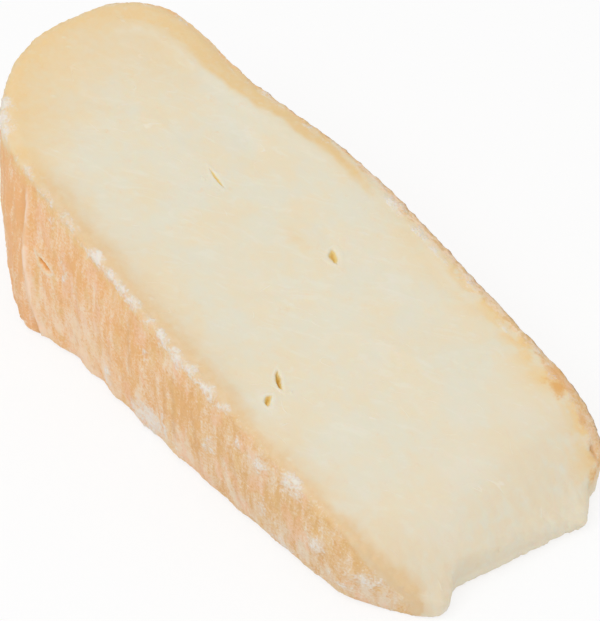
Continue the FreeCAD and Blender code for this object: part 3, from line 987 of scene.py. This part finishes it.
# Their floors are a darker gold: the eyes' own gold, with painted shade deep in the recess.
eye_floor_shade = cheese.mix(rind_mask, DEEP_GOLD_SHADE, SLIT_DEEP_SHADE)
skin = cheese.mix(eye_mask.rise(0.05, 0.45), skin, eye_rim)
skin = cheese.mix(eye_mask.rise(0.45, 0.95), skin, eye_floor_shade)
print("nodes so far:", len(cheese.nodes))

# %% [markdown]
# ## Gloss and glow
# The paste is moist and shines softly, and the rind and the mould are duller. Light sinks a few
# millimetres into soft cheese, red light deepest, so a little subsurface scattering softens its
# shadows. Bump only adds the finest grain: what a finger would feel is in the mesh already.

# %% Fine relief, gloss and the shader
rind_relief = streak * 0.35 + fine * 0.5 + speck * 0.25
relief = rind_mask * rind_relief + (1 - rind_mask) * (smeared * 0.22 + fine * 0.10 + wisp * 0.2)
relief = relief + mould_mask * fine * 0.8
bump = cheese.add("ShaderNodeBump", {}, {"Height": relief, "Strength": 0.5, "Distance": 0.3 * MM})
gloss = 0.5 + rind_mask * 0.2 + mould_mask * 0.15 + (medium - 0.5) * 0.2
body = cheese.add("ShaderNodeBsdfPrincipled", {}, {
    "Base Color": skin,
    "Roughness": gloss,
    "IOR": 1.42,
    "Subsurface Weight": 0.2,
    "Subsurface Radius": [1.0, 0.6, 0.3],
    "Subsurface Scale": 2.5 * MM,
    "Normal": bump,
})
cheese.add("ShaderNodeOutputMaterial", {}, {"Surface": body})
wedge.data.materials.append(cheese.owner)
print("nodes in the finish:", len(cheese.nodes))

# %% [markdown]
# ## Floor, light and background
# A pale floor catches the wedge's soft shadow. The sky lights everything evenly, and one broad
# lamp from the near side gives the relief its shape. To the camera, the sky is plain white.

# %% What the camera sees, directly or in a shine
def seen_by_camera(finish):
    """1 for a camera, glossy or transmitted ray, and 0 for the rays that light the cheese."""
    camera_ray, glossy, through = finish.add(
        "ShaderNodeLightPath",
        output=("Is Camera Ray", "Is Glossy Ray", "Is Transmission Ray"),
    )
    return camera_ray.at_least(glossy).at_least(through)


# %% Floor
FLOOR_SIDE = 6.0
SHOWN_WHITE = 0.78  # the camera's share of plain white, and the rest takes light and shadow
bpy.ops.mesh.primitive_plane_add(size=FLOOR_SIDE)
floor = bpy.context.object
floor.name = "floor"
pale = Finish(bpy.data.materials.new("pale_floor"))
lit = pale.add("ShaderNodeBsdfDiffuse", {}, {"Color": tint(247, 247, 247)})
glow = pale.add("ShaderNodeEmission", {}, {"Color": [1, 1, 1, 1], "Strength": 1.0})
whitened = seen_by_camera(pale) * SHOWN_WHITE
shown = pale.add("ShaderNodeMixShader", {}, {0: whitened, 1: lit, 2: glow})
pale.add("ShaderNodeOutputMaterial", {}, {"Surface": shown})
floor.data.materials.append(pale.owner)
print("floor:", FLOOR_SIDE, "m wide")

# %% Sky
SKY_LIGHT = 0.695
bpy.context.scene.world = bpy.data.worlds.new("soft_sky")
sky = Finish(bpy.context.scene.world)
lighting, backdrop = (
    sky.add("ShaderNodeBackground", {}, {"Color": [1, 1, 1, 1], "Strength": strength})
    for strength in (SKY_LIGHT, 1.0)
)
either = sky.add("ShaderNodeMixShader", {}, {0: seen_by_camera(sky), 1: lighting, 2: backdrop})
sky.add("ShaderNodeOutputWorld", {}, {"Surface": either})
print("sky light:", SKY_LIGHT)

# %% One broad square lamp, aimed at the wedge
KEY_TURN = math.radians(18)
KEY_HEIGHT = math.radians(62)
KEY_DISTANCE = 1.0
KEY_POWER = 3.9
KEY_SIZE = 0.7
bpy.ops.object.light_add(
    type="AREA",
    location=AIM + way_out(KEY_TURN, KEY_HEIGHT) * KEY_DISTANCE,
    rotation=(math.pi / 2 - KEY_HEIGHT, 0, KEY_TURN),
)
key = bpy.context.object
key.name = "key"
key.data.energy = KEY_POWER
key.data.size = KEY_SIZE
print("lamp:", KEY_POWER, "W,", KEY_SIZE, "m wide")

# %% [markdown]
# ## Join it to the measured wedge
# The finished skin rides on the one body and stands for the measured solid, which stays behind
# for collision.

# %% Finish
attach(wedge, "root")
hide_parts("cheese_wedge")

scene = bpy.context.scene
scene.view_settings.view_transform = "Standard"
